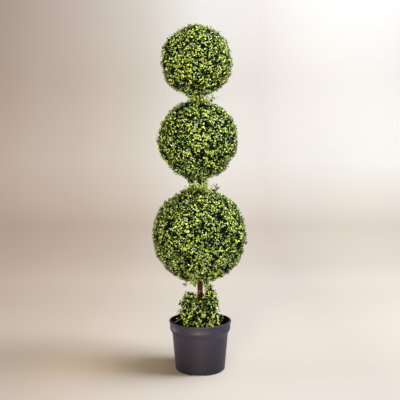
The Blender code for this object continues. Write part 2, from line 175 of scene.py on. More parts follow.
def addBarkFlecks(material):
    tree = material.node_tree
    place = addNode(tree, "ShaderNodeTexCoord").outputs["Object"]
    spread = addNode(tree, "ShaderNodeMapping", {"Vector": place, "Scale": barkFlecks["stretch"]})
    flecks = addNode(tree, "ShaderNodeTexNoise", {"Vector": spread, "Scale": 1000 / barkFlecks["size"]})
    paintOver(material, flecks, barkFlecks)


def shadeByHeight(material, shade):
    tree = material.node_tree
    place = addNode(tree, "ShaderNodeTexCoord").outputs["Object"]
    height = addNode(tree, "ShaderNodeSeparateXYZ", {"Vector": place}).outputs["Z"]
    paintOver(material, height, shade)


materials = {tint: makeMaterial("moulded polyethylene leaf " + tint,
                                finishes["deep leaf" if tint == "deep" else "leaf"], colours)
             for tint, colours in leafTints.items()}
for part, name in {"twig": "moulded polyethylene twig", "core": "dyed foam core", "bark": "stained bark",
                   "pot": "moulded black polypropylene", "potInsidePaintedShade": "polypropylene inside painted black as shade",
                   "fill": "painted cast fill", "stem": "bare stem wire"}.items():
    materials[part] = makeMaterial(name, finishes[name], finishes[name]["colours"])
addBarkFlecks(materials["bark"])
shadeByHeight(materials["bark"], barkPaintedShade)
shadeByHeight(materials["pot"], potFootPaintedShade)


# Node trees

def newTree(name, sockets):
    tree = bpy.data.node_groups.new(name, "GeometryNodeTree")
    tree.interface.new_socket("Geometry", in_out="OUTPUT", socket_type="NodeSocketGeometry")
    for label, kind in {"Geometry": "Geometry", **sockets}.items():
        tree.interface.new_socket(label, in_out="INPUT", socket_type="NodeSocket" + kind)
    return tree, addNode(tree, "NodeGroupInput").outputs


def endTree(tree, geometry, attributes, finish):  # drops the attributes that the tree has read
    bare = addNode(tree, "GeometryNodeRemoveAttribute", {"Geometry": geometry, "Name": attributes},
                   pattern_mode="WILDCARD")
    real = addNode(tree, "GeometryNodeRealizeInstances", {"Geometry": bare})
    painted = addNode(tree, "GeometryNodeSetMaterial", {"Geometry": real, "Material": finish})
    addNode(tree, "NodeGroupOutput", {"Geometry": painted})
    return tree


def leavesOnPointsTree():  # one leaf on each point, turned along leafHeading with its face to leafFace
    tree, given = newTree("leavesOnPoints", {"Leaf": "Object", "Width": "Float", "Cup": "Float",
                                             "Width spread": "Float", "Seed": "Int", "Finish": "Material"})
    heading, face = [addNode(tree, "GeometryNodeInputNamedAttribute", {"Name": name},
                             data_type="FLOAT_VECTOR") for name in ("leafHeading", "leafFace")]
    length = addNode(tree, "GeometryNodeInputNamedAttribute", {"Name": "leafLength"}, data_type="FLOAT")
    turn = addNode(tree, "FunctionNodeAxesToRotation", {"Primary Axis": heading, "Secondary Axis": face},
                   primary_axis="X", secondary_axis="Z")
    least, most = [addNode(tree, "ShaderNodeMath", {0: 1.0, 1: given["Width spread"]}, operation=sign)
                   for sign in ("SUBTRACT", "ADD")]
    wander = addNode(tree, "FunctionNodeRandomValue", {2: least, 3: most, "Seed": given["Seed"]},
                     data_type="FLOAT")  # its sockets 2 and 3 are the least and most of a number
    width = addNode(tree, "ShaderNodeMath", {0: given["Width"], 1: wander}, operation="MULTIPLY")
    shape = addNode(tree, "ShaderNodeCombineXYZ", {"X": 1.0, "Y": width, "Z": given["Cup"]})
    size = addNode(tree, "ShaderNodeVectorMath", {0: shape, "Scale": length}, operation="SCALE")
    leaf = addNode(tree, "GeometryNodeObjectInfo", {"Object": given["Leaf"]}).outputs["Geometry"]
    leaves = addNode(tree, "GeometryNodeInstanceOnPoints", {
        "Points": given["Geometry"], "Rotation": turn, "Instance": leaf, "Scale": size})
    return endTree(tree, leaves, "leaf*", given["Finish"])


def tubeNodes(tree, given):  # a tube along each path of edges, as thick as twigRadius says
    paths = addNode(tree, "GeometryNodeMeshToCurve", {"Mesh": given["Geometry"]})
    ring = addNode(tree, "GeometryNodeCurvePrimitiveCircle", {"Resolution": given["Sides"], "Radius": 1.0})
    radius = addNode(tree, "GeometryNodeInputNamedAttribute", {"Name": "twigRadius"}, data_type="FLOAT")
    return addNode(tree, "GeometryNodeCurveToMesh", {
        "Curve": paths, "Profile Curve": ring, "Fill Caps": True, "Scale": radius})


def tubesOnPathsTree():
    tree, given = newTree("tubesOnPaths", {"Sides": "Int", "Finish": "Material"})
    return endTree(tree, tubeNodes(tree, given), "twigRadius", given["Finish"])


def barkOnPathTree():  # the trunk round its leaning line, with furrows that run along it
    tree, given = newTree("barkOnPath", {
        "Sides": "Int", "Furrow depth": "Float", "Furrow size": "Float", "Furrow stretch": "Float",
        "Seed": "Float", "Finish": "Material"})
    stem = tubeNodes(tree, given)
    squeeze = addNode(tree, "ShaderNodeCombineXYZ", {"X": 1.0, "Y": 1.0, "Z": given["Furrow stretch"]})
    position = addNode(tree, "GeometryNodeInputPosition")
    spot = addNode(tree, "ShaderNodeVectorMath", {0: position, 1: squeeze}, operation="MULTIPLY")
    often = addNode(tree, "ShaderNodeMath", {0: 1.0, 1: given["Furrow size"]}, operation="DIVIDE")
    furrow = addNode(tree, "ShaderNodeTexNoise", {"Vector": spot, "W": given["Seed"], "Scale": often,
                                                  "Detail": 4.0}, noise_dimensions="4D")
    centred = addNode(tree, "ShaderNodeMath", {0: furrow, 1: 0.5}, operation="SUBTRACT")
    depth = addNode(tree, "ShaderNodeMath", {0: centred, 1: given["Furrow depth"]}, operation="MULTIPLY")
    normal = addNode(tree, "GeometryNodeInputNormal")
    push = addNode(tree, "ShaderNodeVectorMath", {0: normal, "Scale": depth}, operation="SCALE")
    bark = addNode(tree, "GeometryNodeSetPosition", {"Geometry": stem, "Offset": push})
    smooth = addNode(tree, "GeometryNodeSetShadeSmooth", {"Geometry": bark, "Shade Smooth": True})
    return endTree(tree, smooth, "twigRadius", given["Finish"])


trees = {"leaves": leavesOnPointsTree(), "tubes": tubesOnPathsTree(), "bark": barkOnPathTree()}
print("materials and node trees made")


def addObject(name, data, material=None, smoothAngle=None):
    added = bpy.data.objects.new(name, data)
    bpy.context.scene.collection.objects.link(added)
    if material is not None:
        data.materials.clear()
        data.materials.append(material)
    if smoothAngle is not None:
        data.shade_smooth()
        data.set_sharp_from_angle(angle=math.radians(smoothAngle))
    return added


def settled(piece):  # a plain mesh of what its modifiers make
    return bpy.data.meshes.new_from_object(piece.evaluated_get(bpy.context.evaluated_depsgraph_get()))


def meshOf(shape, name):
    bmesh.ops.recalc_face_normals(shape, faces=shape.faces)
    mesh = bpy.data.meshes.new(name)
    shape.to_mesh(mesh)
    shape.free()
    return mesh


def runTree(name, mesh, tree, values):  # the tree's result as a plain mesh in an object of its own
    source = addObject(name + "_source", mesh)
    modifier = source.modifiers.new(tree.name, "NODES")
    modifier.node_group = tree
    identifiers = {item.name: item.identifier for item in tree.interface.items_tree
                   if item.in_out == "INPUT"}
    for label, value in values.items():
        modifier[identifiers[label]] = value
    made = settled(source)
    bpy.data.objects.remove(source, do_unlink=True)
    made.name = name
    return addObject(name, made)


def hand(piece, slot, *nodes):  # the piece rides with the plant and stands for these nodes
    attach(piece, "root")
    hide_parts(*nodes)


# Growth: a bough forks into sprigs, and a sprig carries crossed pairs of leaves

leafForm = {"Width": 0.76, "Width spread": 0.12, "Cup": 1.0}  # what scales leafShape, besides its length
leafRule = {
    "length": 0.0076,
    "lengthSpread": 0.14,
    "pairs": 4,  # on one sprig
    "pairStep": 0.0048,
    "stepWander": 0.3,  # as a share of that step
    "tipGap": 0.001,  # from the sprig's tip in to its first pair
    "sizes": (0.72, 0.92, 1.0, 1.0),  # of a pair, from the tip inwards
    "tipSpread": 62.0,  # degrees between the sprig and its leaves
    "rootSpread": 80.0,
    "spreadWander": 13.0,
    "turnWander": 16.0,
    "roll": 20.0,
    "bend": 0.10,  # how far a sprig's tip bows aside, as a share of its length
    "bareRoot": 0.04,  # share of a sprig that has no leaves
    "dark": (0.20, 0.50, 0.9, 1.0),  # share of each pair's leaves given the deep tint: painted shade, more on the inner pairs
    "twigRadius": 0.0009,
    "twigTipShare": 0.55,
    "twigSides": 3,
}
proudRule = {**leafRule, "length": 0.0090, "pairs": 3, "pairStep": 0.0062, "sizes": (0.78, 1.0, 1.0),
             "dark": (0.05, 0.4, 0.9)}
strayRule = {**leafRule, "length": 0.0116, "pairStep": 0.0070, "tipSpread": 42.0, "rootSpread": 60.0,
             "roll": 36.0, "dark": (0.0, 0.05, 0.15, 0.3)}
tintDrift = {-2: 0.08, -1: 0.25, 0: 0.34, 1: 0.25, 2: 0.08}  # share of the leaves so many tints darker


def leafShape():  # eight faces in a box leaf's outline, folded along the midrib
    half = ((0.24, 0.13, 0.05), (0.58, 0.50, 0.12), (0.88, 0.38, 0.04))
    points = [(0.0, 0.0, 0.0), *half, (1.0, 0.0, -0.08), *[(x, -y, z) for x, y, z in reversed(half)]]
    middle = len(points)
    faces = [(middle, (i + 1) % middle, i) for i in range(middle)]
    mesh = bpy.data.meshes.new("leaf")
    mesh.from_pydata([*points, (0.56, 0.0, 0.02)], [], [tuple(reversed(face)) for face in faces])
    return mesh


def crossFrame(axes):  # two directions square to each axis and to each other
    helper = np.where(np.abs(axes[:, 2:3]) < 0.9, [[0.0, 0.0, 1.0]], [[1.0, 0.0, 0.0]])
    side = unit(np.cross(axes, helper))
    return side, np.cross(axes, side)


class Growth:
    def __init__(self, name):
        self.name = name
        self.random = np.random.default_rng([growthSeeds[name], *name.encode()])
        self.leaves = []
        self.paths = []  # points (count, steps, 3) and radii (count, steps)

    def addSprigs(self, starts, headings, lengths, tints, holds, rule=leafRule):
        rng = self.random
        count = len(starts)
        side, other = crossFrame(headings)
        swing = rng.uniform(0, math.tau, count)[:, None]
        bow = lengths * rule["bend"] * rng.uniform(0, 1, count)
        bow = (side * np.cos(swing) + other * np.sin(swing)) * bow[:, None]
        shares = np.array([0.0, 0.5, 1.0])
        path = (starts[:, None] + headings[:, None] * (lengths[:, None] * shares)[..., None]
                + bow[:, None] * (shares ** 2)[None, :, None])
        radii = rule["twigRadius"] * (1 - (1 - rule["twigTipShare"]) * shares)
        self.paths.append((path, np.broadcast_to(radii, (count, 3))))
        turn = rng.uniform(0, math.tau, count)
        for pair in range(rule["pairs"]):
            wander = rule["stepWander"] * rng.uniform(-1, 1, count)
            share = (1 - (rule["pairStep"] * (pair + wander) + rule["tipGap"]) / lengths)[:, None]
            root = starts + headings * lengths[:, None] * share + bow * share ** 2
            axis = unit(headings * lengths[:, None] + 2 * bow * share)
            age = pair / (rule["pairs"] - 1)
            wander = np.radians(rule["turnWander"]) * rng.normal(0, 1, count)
            angle = (turn + pair * math.pi / 2 + wander)[:, None]
            across = side * np.cos(angle) + other * np.sin(angle)
            across = unit(across - axis * np.sum(across * axis, 1)[:, None])
            for sign in (1, -1):
                spread = rule["tipSpread"] + (rule["rootSpread"] - rule["tipSpread"]) * age
                spread = np.radians(spread + rule["spreadWander"] * rng.normal(0, 1, count))[:, None]
                heading = axis * np.cos(spread) + across * sign * np.sin(spread)
                face = unit(axis - heading * np.sum(axis * heading, 1)[:, None])
                roll = np.radians(rule["roll"] * rng.normal(0, 1, count))[:, None]
                face = face * np.cos(roll) + np.cross(heading, face) * np.sin(roll)
                length = rule["length"] * rule["sizes"][pair]
                length = length * (1 + rule["lengthSpread"] * rng.uniform(-1, 1, count))
                tint = self.tintWithPaintedShade(tints, rule["dark"][pair])
                keep = share[:, 0] > rule["bareRoot"]
                keep &= holds(root) & holds(root + heading * length[:, None])
                self.leaves.append((root[keep], heading[keep], face[keep], length[keep], tint[keep]))

    def addBetween(self, starts, tips, tints, holds, rule):  # sprigs from these starts to these tips
        paths = tips - starts
        self.addSprigs(starts, unit(paths), np.linalg.norm(paths, axis=1), tints, holds, rule)

    def addStrays(self, strays, holds, rule):  # each by itself, from millimetres
        for start, tip, tint in strays:
            self.addBetween(np.array([start]) / 1000, np.array([tip]) / 1000, np.array([tint]), holds, rule)

    def drawTints(self, count=None):
        return self.random.choice(len(tintNames), count, p=tintShares[self.name])

    def tintWithPaintedShade(self, tints, dark):  # single leaves turn lighter or darker at random, and inner ones take the deep tint of painted shade
        drift = self.random.choice(list(tintDrift), len(tints), p=list(tintDrift.values()))
        moved = np.where(tints < paleGlintTint, np.clip(tints + drift, 0, deepShadeTint), tints)
        return np.where(self.random.uniform(0, 1, len(tints)) < dark, deepShadeTint, moved)

    def makePieces(self, nodes):
        root, heading, face, length, tint = [np.concatenate(parts) for parts in zip(*self.leaves)]
        leafObject = bpy.data.objects.new("leaf", leafShape())
        for index, tintName in enumerate(tintNames):
            chosen = tint == index
            if not chosen.any():
                continue
            mesh = pointsMesh(self.name, root[chosen], leafHeading=heading[chosen], leafFace=face[chosen],
                              leafLength=length[chosen])
            piece = runTree(f"{self.name}_leaves_{tintName}", mesh, trees["leaves"], {
                **leafForm, "Leaf": leafObject, "Seed": seed + index, "Finish": materials[tintName]})
            hand(piece, "foliage", *nodes)
        bpy.data.objects.remove(leafObject)
        piece = runTree(self.name + "_twigs", pathsMesh(self.name, self.paths), trees["tubes"], {
            "Sides": leafRule["twigSides"], "Finish": materials["twig"]})
        hand(piece, "foliage", *nodes)
        print(self.name, "leaves", len(tint), np.bincount(tint, minlength=len(tintNames)).tolist())


def pointsMesh(name, points, **attributes):  # points and what the node trees read from them
    mesh = bpy.data.meshes.new(name)
    mesh.vertices.add(len(points))
    mesh.vertices.foreach_set("co", points.astype(np.float32).ravel())
    for label, values in attributes.items():
        kind, key = ("FLOAT", "value") if values.ndim == 1 else ("FLOAT_VECTOR", "vector")
        data = mesh.attributes.new(label, kind, "POINT").data
        data.foreach_set(key, values.astype(np.float32).ravel())
    return mesh


def pathsMesh(name, paths):  # lines of edges with their radii
    points, radii, edges = [], [], []
    total = 0
    for path, radius in paths:
        count, steps = radius.shape
        first = total + np.arange(count)[:, None] * steps + np.arange(steps - 1)
        edges.append(np.stack([first, first + 1], -1).reshape(-1, 2))
        points.append(path.reshape(-1, 3))
        radii.append(radius.reshape(-1))
        total += count * steps
    mesh = pointsMesh(name, np.concatenate(points), twigRadius=np.concatenate(radii))
    edges = np.concatenate(edges)
    mesh.edges.add(len(edges))
    mesh.edges.foreach_set("vertices", edges.astype(np.int32).ravel())
    return mesh


# Trunk

trunkSizes = {
    "footRadius": 0.0101,
    "tipRadius": 0.0084,
    "flare": 0.0030,
    "flareHeight": 0.020,
    "lean": 0.0125,  # of the tip, towards -X
    "waver": 0.0010,  # to the back and front
    "rings": 640,
}
barkForm = {"Sides": 44, "Furrow depth": 0.0030, "Furrow size": 0.0042, "Furrow stretch": 0.14}
trunkRoom = 0.0015  # that leaves and twigs keep clear of it
trunkFoot, trunkTip = [corner.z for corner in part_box("trunk")]


def trunkCentre(heights):
    share = np.clip((heights - trunkFoot) / (trunkTip - trunkFoot), 0, 1)
    return -trunkSizes["lean"] * share ** 2, trunkSizes["waver"] * np.sin(math.tau * share)


def offTrunk(points):
    x, y, z = points.T
    middleX, middleY = trunkCentre(z)
    return ((np.hypot(x - middleX, y - middleY) > trunkSizes["footRadius"] + trunkRoom)
            | (z > trunkTip + trunkRoom))


def makeTrunk():
    heights = np.linspace(trunkFoot, trunkTip, trunkSizes["rings"])
    x, y = trunkCentre(heights)
    share = (heights - trunkFoot) / (trunkTip - trunkFoot)
    flare = trunkSizes["flare"] * np.exp(-(heights - trunkFoot) / trunkSizes["flareHeight"])
    radii = trunkSizes["footRadius"] + (trunkSizes["tipRadius"] - trunkSizes["footRadius"]) * share + flare
    line = pathsMesh("trunk", [(np.stack([x, y, heights], 1)[None], radii[None])])
    piece = runTree("trunk_bark", line, trees["bark"], {
        **barkForm, "Seed": float(seed), "Finish": materials["bark"]})
    hand(piece, "trunk", "trunk")
    print("trunk", len(piece.data.polygons), "faces")


# Balls

balls = {  # centre sideways, centre height, radius over the leaf tips
    "lower_ball": (-0.0028, 0.4832, 0.1694),
    "middle_ball": (-0.0090, 0.8195, 0.1433),
    "top_ball": (-0.0120, 1.0930, 0.1270),
}
ballRule = {
    "boughSpacing": 0.0235,  # between boughs on the clipped outline
    "boughWander": 0.10,  # as a share of that spacing
    "boughRadius": 0.0016,
    "coreDepth": 0.034,  # from the outline in to the core
    "rootDepth": 0.004,  # how far a bough is pushed into the core
    "forkDepth": 0.027,  # from the outline in to where a bough forks into sprigs
    "forkFollow": 0.5,  # share of a bough's standing back that moves its fork
    "tipSpacing": 0.0094,  # between the sprigs' tips on the outline
    "tipWander": 0.18,  # as a share of that spacing
    "clip": (0.001, 0.006),  # how far a sprig's tip stays inside the outline
    "proudShare": 0.14,  # of the sprigs stand out of it, with larger leaves
    "proudClip": (-0.002, 0.002),
    "boughClip": 0.005,  # how much further in a whole bough may stay
    "leafProud": 0.0045,  # how far a leaf may stand out of the outline
    "hollowShare": 0.045,  # of the boughs stand back and leave a dip, darkened with painted shade
    "hollowDepth": 0.0065,
    "boughTint": 0.15,  # share of the sprigs that keep to their bough's tint
    "lump": 0.012,  # how far the clipped outline swells and dips
    "lumpSize": 0.045,
}
coreSizes = {"cuts": 5, "lump": 0.012, "lumpSize": 0.012, "smoothAngle": 60}  # lump: a share of the radius
poleRule = {  # the sprigs that close in round the trunk, over and under a ball
    "ring": (0.013, 0.036),  # how far from the trunk's middle their tips stand
    "lean": 0.006,  # how much nearer to it they start
    "length": 0.024,
    "proudShare": (0.3, 1),
}
poleSprigs = {  # up or down, how many there are, how far they stand out
    "lower_ball": ((1, 28, 0.012), (-1, 16, 0.010)),
    "middle_ball": ((1, 20, 0.009), (-1, 22, 0.009)),
    "top_ball": ((-1, 8, 0.003),),
}
straySprigs = {  # start and tip in millimetres, and tint, of the sprigs that the clipping missed
    "lower_ball": (
        ((30, -30, 630), (67, -25, 655), 1), ((26, -20, 632), (48, -20, 662), 0),
        ((52, -30, 640), (56, -28, 664), 2), ((4, -28, 634), (16, -22, 662), 0),
        ((-16, -30, 634), (-34, -25, 663), 1), ((-30, -30, 630), (-50, -30, 655), 0),
        ((-2, -72, 608), (-3, -93, 628), 1), ((-4, -88, 598), (-4, -109, 616), 0),
        ((8, -44, 628), (-5, -36, 656), 1), ((-16, -40, 630), (0, -36, 652), 0),
        ((-12, -28, 636), (-20, -24, 664), 0), ((-22, -24, 646), (0, -22, 654), 2),
        ((-43, -30, 338), (-54, -30, 309), 2), ((12, -28, 328), (20, -24, 302), 0),
        ((-12, -28, 330), (-18, -24, 306), 1)),
    "middle_ball": (
        ((12, -20, 945), (54, -20, 968), 1), ((2, -30, 942), (21, -30, 970), 0),
        ((28, -26, 948), (44, -26, 974), 1), ((-24, -30, 942), (-40, -30, 966), 1),
        ((-10, -32, 944), (-22, -30, 968), 0), ((-32, -30, 695), (-40, -30, 668), 1),
        ((12, -30, 695), (24, -30, 666), 2)),
    "top_ball": (),
}
dimples = {"lower_ball": ((-0.003, -0.010, 0.636), (-0.003, -0.065, 0.639), 0.007)}  # start, end and radius
tintShares = {  # of the sprigs of each part, in the tints' order; deep sprigs are painted shade, pale ones painted glints
    "lower_ball": (0.37, 0.28, 0.17, 0.07, 0.11),
    "middle_ball": (0.33, 0.27, 0.19, 0.10, 0.11),
    "top_ball": (0.38, 0.27, 0.16, 0.08, 0.11),
    "foot": (0.50, 0.17, 0.10, 0.15, 0.08),
}


def spreadDirections(count):  # even directions over a sphere, on a golden-angle spiral
    index = np.arange(count)
    height = 1 - 2 * index / (count - 1)
    angle = index * math.pi * (3 - math.sqrt(5))
    flat = np.sqrt(np.maximum(0, 1 - height ** 2))
    return np.stack([flat * np.cos(angle), flat * np.sin(angle), height], 1)


def wanderingDirections(rng, radius, spacing, wander):  # so far apart, and moved by a share of that
    count = int(4 * math.pi * radius ** 2 / spacing ** 2)
    return unit(spreadDirections(count) + rng.normal(0, wander * spacing / radius, (count, 3)))


def inDimple(name, points):  # the gap in front of the trunk where it enters a ball
    if name not in dimples:
        return np.zeros(len(points), bool)
    start, end, radius = dimples[name]
    start, along = np.array(start), np.array(end) - np.array(start)
    share = np.clip((points - start) @ along / (along @ along), 0, 1)
    return np.linalg.norm(points - start - share[:, None] * along, axis=1) < radius


def makeBall(name):
    sideways, height, radius = balls[name]
    centre = np.array([sideways, 0.0, height])
    growth = Growth(name)

    def clear(points):
        return offTrunk(points) & ~inDimple(name, points)

    def holds(points):
        return (np.linalg.norm(points - centre, axis=1) < radius + ballRule["leafProud"]) & clear(points)

    boughs = growBoughs(growth, centre, radius)
    growClippedSprigs(growth, centre, radius, boughs, holds)
    growPoleSprigs(growth, centre, radius, clear)
    growth.addStrays(straySprigs[name], clear, strayRule)
    growth.makePieces([name])
    makeCore(name, Vector(centre), radius - ballRule["coreDepth"])


def growBoughs(growth, centre, radius):  # short boughs from the core to where they fork
    rng = growth.random
    out = wanderingDirections(rng, radius, ballRule["boughSpacing"], ballRule["boughWander"])
    count = len(out)
    hollow = rng.uniform(0, 1, count) < ballRule["hollowShare"]
    lumps = np.array([noise.noise(Vector(centre + radius * way) / ballRule["lumpSize"]) for way in out])
    standBack = (rng.uniform(0, ballRule["boughClip"], count) + hollow * ballRule["hollowDepth"]
                 - lumps * ballRule["lump"])
    fork = out * (radius - ballRule["forkDepth"] - ballRule["forkFollow"] * standBack)[:, None]
    root = out * (radius - ballRule["coreDepth"] - ballRule["rootDepth"])
    ends = np.stack([centre + root, centre + fork], 1)
    growth.paths.append((ends, np.full((count, 2), ballRule["boughRadius"])))
    return {"out": out, "fork": fork, "standBack": standBack, "hollow": hollow,
            "tint": growth.drawTints(count)}


def growClippedSprigs(growth, centre, radius, boughs, holds):  # from the nearest fork out to the outline
    rng = growth.random
    out = wanderingDirections(rng, radius, ballRule["tipSpacing"], ballRule["tipWander"])
    count = len(out)
    owner = np.argmax(out @ boughs["out"].T, axis=1)
    proud = rng.uniform(0, 1, count) < ballRule["proudShare"]
    proudClip = rng.uniform(*ballRule["proudClip"], count)
    inside = np.where(proud, proudClip, rng.uniform(*ballRule["clip"], count))
    starts = centre + boughs["fork"][owner]
    tips = centre + out * (radius - inside - boughs["standBack"][owner])[:, None]
    own = growth.drawTints(count)
    tints = np.where(rng.uniform(0, 1, count) < ballRule["boughTint"], boughs["tint"][owner], own)
    # leaves on a hollow bough take the deep tint, or keep the pale one: painted shade in the dip
    tints = np.where(boughs["hollow"][owner], np.maximum(tints, deepShadeTint), tints)
    tints = np.where(proud, np.minimum(tints, midTint), tints)
    clear = holds(starts) & holds(tips)
    for chosen, rule in ((clear & ~proud, leafRule), (clear & proud, proudRule)):
        growth.addBetween(starts[chosen], tips[chosen], tints[chosen], holds, rule)


def growPoleSprigs(growth, centre, radius, holds):
    rng = growth.random
    for sign, count, proud in poleSprigs[growth.name]:
        around = aroundZ(rng.uniform(0, 360, count))
        away = rng.uniform(*poleRule["ring"], count)
        level = np.sqrt(radius ** 2 - away ** 2) + proud * rng.uniform(*poleRule["proudShare"], count)
        tips = centre + around * away[:, None] + sign * level[:, None] * upwards
        starts = tips - around * poleRule["lean"] - sign * poleRule["length"] * upwards
        growth.addBetween(starts, tips, growth.drawTints(count), holds, strayRule)


def makeCore(name, centre, radius):  # the foam ball that the boughs are pushed into
    shape = bmesh.new()
    bmesh.ops.create_icosphere(shape, subdivisions=coreSizes["cuts"], radius=radius)
    for corner in shape.verts:
        corner.co *= 1 + coreSizes["lump"] * noise.noise(corner.co / coreSizes["lumpSize"])
        corner.co += centre
    mesh = meshOf(shape, name + "_core")
    hand(addObject(name + "_core", mesh, materials["core"], coreSizes["smoothAngle"]), "foliage", name)


# Sprays round the foot

footRule = {
    "stemOut": (0.7, 1.5),  # how far out a stem stands, as a share of its spray's distance
    "stemTurn": 27.0,  # degrees to each side
    "stemHeights": (1.0, 0.94, 0.85, 0.74, 0.62, 0.50, 0.40),  # as shares of the tallest over the fill
    "stemFan": 55.0,  # degrees that a stem of no height would lean
    "fanPower": 1.5,
    "stemWander": 4.0,
    "stemClear": 0.0005,  # between a stem and the fill
    "stemRadius": 0.0016,
    "stemTaper": 0.5,
    "stemSteps": 5,
    "tipRoom": 0.006,  # left over a stem for its leaves
    "tipLength": 0.03,  # of the sprig at its tip
    "tuft": 7,  # shoots round a stem's tip
    "tuftAngle": (25.0, 85.0),
    "tuftLength": (0.016, 0.025),
    "tuftStart": 0.002,  # how far down the stem they start
    "tuftDepth": 0.018,
    "tuftPlaces": (0.2, 1),  # the first and last, as shares of that depth
    "shoots": 22,  # side shoots of a stem that is fullLength long
    "fullLength": 0.16,
    "fewestShoots": 9,
    "shootPlaces": (0.12, 0.95),  # the first and last, as shares of the stem
    "shootLength": (0.014, 0.026),
    "shootAngle": (34.0, 72.0),
    "shootTurn": 137.5,  # degrees round the stem from one side shoot to the next
    "stemTint": 0.5,  # share of the side shoots that keep to their stem's tint
    "reachSplit": 0.160,  # leaves keep within reachLow of the middle below this height
    "reachLow": 0.100,
    "reachHigh": 0.106,
    "fillRoom": 0.002,
}
footLeafRule = {**leafRule, "length": 0.0098, "pairStep": 0.0054, "sizes": (0.82, 1.0, 1.0, 1.0),
                "dark": (0.0, 0.44, 0.92, 1.0)}
footSprays = {  # direction in degrees from +X, height of the tip, lean outwards, distance, least stem share
    "foot_spray_right": (340.0, 0.300, 2.0, 0.022, 0.3),
    "foot_spray_back_right": (60.0, 0.256, 10.0, 0.028, 0.5),
    "foot_spray_back_left": (120.0, 0.250, 10.0, 0.028, 0.5),
    "foot_spray_left": (196.0, 0.280, 6.0, 0.026, 0.3),
    "foot_spray_front_left": (244.0, 0.244, 7.0, 0.030, 0.3),
    "foot_spray_front_right": (300.0, 0.272, 3.0, 0.027, 0.3),
}
footStrays = (  # start and tip in millimetres, and tint
    ((-6, -60, 160), (-7.5, -100, 175), 0), ((-50, -50, 160), (-78, -30, 190), 1),
    ((45, -45, 162), (72, -42, 188), 0), ((40, -52, 160), (60, -66, 182), 0),
    ((50, -20, 165), (78, -16, 196), 1), ((36, -60, 160), (40, -84, 178), 1),
    ((10, -30, 190), (-2, -34, 222), 1), ((-12, -36, 176), (-1, -42, 204), 0),
    ((12, -34, 184), (-1, -36, 212), 0), ((-13, -30, 192), (1, -32, 224), 1),
    ((16, -24, 254), (-2, -22, 286), 1), ((-56, -20, 180), (-80, -16, 216), 0))
paleStem = {"ends": ((-0.058, -0.004, 0.190), (-0.0925, -0.010, 0.170)), "radius": 0.0009, "sag": 0.002,
            "points": 9, "sides": 8}


def shootsRound(rng, axis, count, angles, lengths):  # headings and lengths of shoots that wind round a stem
    turn = np.radians(rng.uniform(0, 360) + footRule["shootTurn"] * np.arange(count))[:, None]
    side, other = crossFrame(axis[None])
    angle = np.radians(rng.uniform(*angles, count))[:, None]
    heading = axis * np.cos(angle) + (side * np.cos(turn) + other * np.sin(turn)) * np.sin(angle)
    return heading, rng.uniform(*lengths, count)


def growFootStem(growth, foot, axis, length, holds):
    rng = growth.random
    tip = foot + axis * length
    steps = np.linspace(0, 1, footRule["stemSteps"])[:, None]
    radii = footRule["stemRadius"] * (1 - footRule["stemTaper"] * steps[:, 0])
    growth.paths.append(((foot + (tip - foot) * steps)[None], radii[None]))
    tint = growth.drawTints()
    tipLength = np.array([footRule["tipLength"]])
    growth.addSprigs(tip[None] - axis * tipLength, axis[None], tipLength, np.array([tint]), holds,
                     footLeafRule)

    count = footRule["tuft"]  # shoots round the tip
    heading, reach = shootsRound(rng, axis, count, footRule["tuftAngle"], footRule["tuftLength"])
    places = rng.uniform(*footRule["tuftPlaces"], count)[:, None]
    roots = tip - axis * (footRule["tuftStart"] + places * footRule["tuftDepth"])
    growShoots(growth, roots, heading, reach, growth.drawTints(count), holds)

    count = max(footRule["fewestShoots"], int(footRule["shoots"] * length / footRule["fullLength"]))
    heading, reach = shootsRound(rng, axis, count, footRule["shootAngle"], footRule["shootLength"])
    roots = foot + (tip - foot) * np.linspace(*footRule["shootPlaces"], count)[:, None]
    own = growth.drawTints(count)
    tints = np.where(rng.uniform(0, 1, count) < footRule["stemTint"], tint, own)
    growShoots(growth, roots, heading, reach, tints, holds)


def growShoots(growth, roots, heading, reach, tints, holds):
    clear = holds(roots + heading * reach[:, None])
    growth.addSprigs(roots[clear], heading[clear], reach[clear], tints[clear], holds, footLeafRule)


def makeFootSprays():
    growth = Growth("foot")
    rng = growth.random
    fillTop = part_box("pot_fill")[1].z

    def holds(points):
        x, y, z = points.T
        reach = np.where(z < footRule["reachSplit"], footRule["reachLow"], footRule["reachHigh"])
        return (np.hypot(x, y) < reach) & (z > fillTop + footRule["fillRoom"]) & offTrunk(points)

    for degrees, height, lean, distance, least in footSprays.values():
        for share in [part for part in footRule["stemHeights"] if part > least]:
            out = aroundZ(degrees + rng.uniform(-footRule["stemTurn"], footRule["stemTurn"]))
            wander = rng.uniform(-footRule["stemWander"], footRule["stemWander"])
            tilt = math.radians(lean + (1 - share) ** footRule["fanPower"] * footRule["stemFan"] + wander)
            axis = unit(upwards * math.cos(tilt) + out * math.sin(tilt))
            away = distance * rng.uniform(*footRule["stemOut"])
            foot = out * away + upwards * (fillTop + footRule["stemClear"])
            rise = (height - footRule["tipRoom"] - fillTop) * share
            growFootStem(growth, foot, axis, rise / axis[2], holds)
    growth.addStrays(footStrays, holds, footLeafRule)
    growth.makePieces(list(footSprays))
    makePaleStem()


def makePaleStem():  # the bare stem that has fallen against the pot's wall
    steps = np.linspace(0, 1, paleStem["points"])[:, None]
    start, end = np.array(paleStem["ends"])
    points = start + (end - start) * steps - upwards * paleStem["sag"] * np.sin(math.pi * steps)
    line = pathsMesh("pale_stem", [(points[None], np.full((1, len(points)), paleStem["radius"]))])
    piece = runTree("foot_pale_stem", line, trees["tubes"], {
        "Sides": paleStem["sides"], "Finish": materials["stem"]})
    piece.data.shade_smooth()
    hand(piece, "foliage", "foot_spray_left")


# Pot and fill

